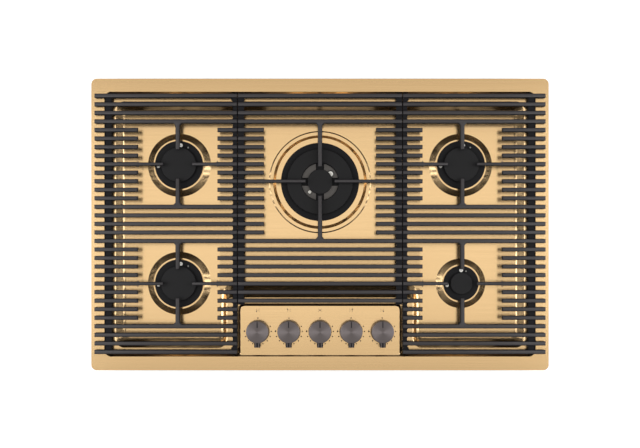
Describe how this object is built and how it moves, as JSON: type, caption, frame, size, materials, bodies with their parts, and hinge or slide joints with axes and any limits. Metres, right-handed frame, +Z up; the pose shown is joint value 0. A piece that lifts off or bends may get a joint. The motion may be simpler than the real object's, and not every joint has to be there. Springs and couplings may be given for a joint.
{
  "type": "gas cooktop",
  "caption": "Built-in gas cooktop: gold-toned pressed steel tray, slatted cast-iron grates that lift off, burners with loose crowns and caps, and push-and-turn knobs on a front panel.",
  "frame": {"origin": "middle of the plan, on the underside of the base pan", "axes": "+X right and +Y back as seen by someone at the knobs, +Z up"},
  "size_m": [0.9, 0.574, 0.089],
  "materials": {
    "gold_steel": "brushed, gold-toned thin hard coating",
    "cast_iron": "matt enamelled casting",
    "rubber_feet": "soft matt",
    "burner_black": "matt black coated casting",
    "cap_enamel": "satin black enamel",
    "gunmetal": "turned, gunmetal-toned coating",
    "cast_aluminium": "sand cast",
    "zinc_steel": "zinc plated",
    "plated_steel": "bright plated",
    "brass": "machined",
    "ceramic": "glazed white",
    "foam_seal": "closed-cell foam",
    "dark_plastic": "moulded",
    "light_plastic": "moulded"
  },
  "bodies": {
    "hob": {"top_plate": "gold_steel", "base_pan": "zinc_steel", "rim_seal": "foam_seal", "pan_nuts": "plated_steel", "worktop_clamps": "zinc_steel", "screws": "plated_steel", "burner_cup_back_left": "cast_aluminium", "burner_cup_front_left": "cast_aluminium", "burner_cup_wok": "cast_aluminium", "burner_cup_back_right": "cast_aluminium", "burner_cup_front_right": "cast_aluminium", "gas_jets": "brass", "electrode_ceramics": "ceramic", "electrode_pins": "plated_steel", "flame_probes": "plated_steel", "spindle_bushes": "dark_plastic", "tap_bodies": "brass", "tap_covers": "plated_steel", "tap_springs": "plated_steel", "safety_magnets": "brass", "ignition_switches": "light_plastic", "gas_manifold": "plated_steel", "manifold_brackets": "zinc_steel", "inlet_elbow": "brass", "gas_tubes": "cast_aluminium", "ignition_module": "light_plastic", "terminal_block": "dark_plastic", "cable_gland": "dark_plastic"},
    "grate_left": {"grate_left": "cast_iron", "grate_feet_left": "rubber_feet"},
    "grate_centre": {"grate_centre": "cast_iron", "grate_feet_centre": "rubber_feet"},
    "grate_right": {"grate_right": "cast_iron", "grate_feet_right": "rubber_feet"},
    "crown_back_left": {"crown_back_left": "burner_black"},
    "cap_back_left": {"cap_back_left": "cap_enamel"},
    "crown_front_left": {"crown_front_left": "burner_black"},
    "cap_front_left": {"cap_front_left": "cap_enamel"},
    "crown_wok": {"crown_wok": "burner_black"},
    "cap_wok": {"cap_wok": "cap_enamel"},
    "crown_back_right": {"crown_back_right": "burner_black"},
    "cap_back_right": {"cap_back_right": "cap_enamel"},
    "crown_front_right": {"crown_front_right": "burner_black"},
    "cap_front_right": {"cap_front_right": "cap_enamel"},
    "cap_wok_ring": {"cap_wok_ring": "cap_enamel"},
    "tap_front_left": {"tap_plug_front_left": "brass"},
    "control_front_left": {"knob_front_left": "gunmetal", "spindle_front_left": "plated_steel"},
    "tap_back_left": {"tap_plug_back_left": "brass"},
    "control_back_left": {"knob_back_left": "gunmetal", "spindle_back_left": "plated_steel"},
    "tap_wok": {"tap_plug_wok": "brass"},
    "control_wok": {"knob_wok": "gunmetal", "spindle_wok": "plated_steel"},
    "tap_back_right": {"tap_plug_back_right": "brass"},
    "control_back_right": {"knob_back_right": "gunmetal", "spindle_back_right": "plated_steel"},
    "tap_front_right": {"tap_plug_front_right": "brass"},
    "control_front_right": {"knob_front_right": "gunmetal", "spindle_front_right": "plated_steel"}
  },
  "joints": [
    {"name": "grate_left_lift", "type": "slide", "parent": "hob", "child": "grate_left", "axis": [0, 0, 1], "range_m": [0, 0.1]},
    {"name": "grate_centre_lift", "type": "slide", "parent": "hob", "child": "grate_centre", "axis": [0, 0, 1], "range_m": [0, 0.1]},
    {"name": "grate_right_lift", "type": "slide", "parent": "hob", "child": "grate_right", "axis": [0, 0, 1], "range_m": [0, 0.1]},
    {"name": "crown_back_left_lift", "type": "slide", "parent": "hob", "child": "crown_back_left", "axis": [0, 0, 1], "range_m": [0, 0.004]},
    {"name": "cap_back_left_lift", "type": "slide", "parent": "crown_back_left", "child": "cap_back_left", "axis": [0, 0, 1], "range_m": [0, 0.0045]},
    {"name": "crown_front_left_lift", "type": "slide", "parent": "hob", "child": "crown_front_left", "axis": [0, 0, 1], "range_m": [0, 0.004]},
    {"name": "cap_front_left_lift", "type": "slide", "parent": "crown_front_left", "child": "cap_front_left", "axis": [0, 0, 1], "range_m": [0, 0.0045]},
    {"name": "crown_wok_lift", "type": "slide", "parent": "hob", "child": "crown_wok", "axis": [0, 0, 1], "range_m": [0, 0.004]},
    {"name": "cap_wok_lift", "type": "slide", "parent": "crown_wok", "child": "cap_wok", "axis": [0, 0, 1], "range_m": [0, 0.06]},
    {"name": "crown_back_right_lift", "type": "slide", "parent": "hob", "child": "crown_back_right", "axis": [0, 0, 1], "range_m": [0, 0.004]},
    {"name": "cap_back_right_lift", "type": "slide", "parent": "crown_back_right", "child": "cap_back_right", "axis": [0, 0, 1], "range_m": [0, 0.0045]},
    {"name": "crown_front_right_lift", "type": "slide", "parent": "hob", "child": "crown_front_right", "axis": [0, 0, 1], "range_m": [0, 0.004]},
    {"name": "cap_front_right_lift", "type": "slide", "parent": "crown_front_right", "child": "cap_front_right", "axis": [0, 0, 1], "range_m": [0, 0.06]},
    {"name": "cap_wok_ring_lift", "type": "slide", "parent": "crown_wok", "child": "cap_wok_ring", "axis": [0, 0, 1], "range_m": [0, 0.004]},
    {"name": "tap_front_left_turn", "type": "hinge", "parent": "hob", "child": "tap_front_left", "pos_m": [-0.1224, -0.21051, 0.025], "axis": [0, 0, 1], "range_deg": [0, 292.5]},
    {"name": "knob_front_left_push", "type": "slide", "parent": "tap_front_left", "child": "control_front_left", "axis": [0, 0, -1], "range_m": [0, 0.0035], "stiffness_N_per_m": 1000, "springref_m": -0.004, "deforming": ["tap_springs"]},
    {"name": "tap_back_left_turn", "type": "hinge", "parent": "hob", "child": "tap_back_left", "pos_m": [-0.0612, -0.21051, 0.025], "axis": [0, 0, 1], "range_deg": [0, 292.5]},
    {"name": "knob_back_left_push", "type": "slide", "parent": "tap_back_left", "child": "control_back_left", "axis": [0, 0, -1], "range_m": [0, 0.0035], "stiffness_N_per_m": 1000, "springref_m": -0.004, "deforming": ["tap_springs"]},
    {"name": "tap_wok_turn", "type": "hinge", "parent": "hob", "child": "tap_wok", "pos_m": [0, -0.21051, 0.025], "axis": [0, 0, 1], "range_deg": [0, 292.5]},
    {"name": "knob_wok_push", "type": "slide", "parent": "tap_wok", "child": "control_wok", "axis": [0, 0, -1], "range_m": [0, 0.0035], "stiffness_N_per_m": 1000, "springref_m": -0.004, "deforming": ["tap_springs"]},
    {"name": "tap_back_right_turn", "type": "hinge", "parent": "hob", "child": "tap_back_right", "pos_m": [0.0612, -0.21051, 0.025], "axis": [0, 0, 1], "range_deg": [0, 292.5]},
    {"name": "knob_back_right_push", "type": "slide", "parent": "tap_back_right", "child": "control_back_right", "axis": [0, 0, -1], "range_m": [0, 0.0035], "stiffness_N_per_m": 1000, "springref_m": -0.004, "deforming": ["tap_springs"]},
    {"name": "tap_front_right_turn", "type": "hinge", "parent": "hob", "child": "tap_front_right", "pos_m": [0.1224, -0.21051, 0.025], "axis": [0, 0, 1], "range_deg": [0, 292.5]},
    {"name": "knob_front_right_push", "type": "slide", "parent": "tap_front_right", "child": "control_front_right", "axis": [0, 0, -1], "range_m": [0, 0.0035], "stiffness_N_per_m": 1000, "springref_m": -0.004, "deforming": ["tap_springs"]}
  ]
}
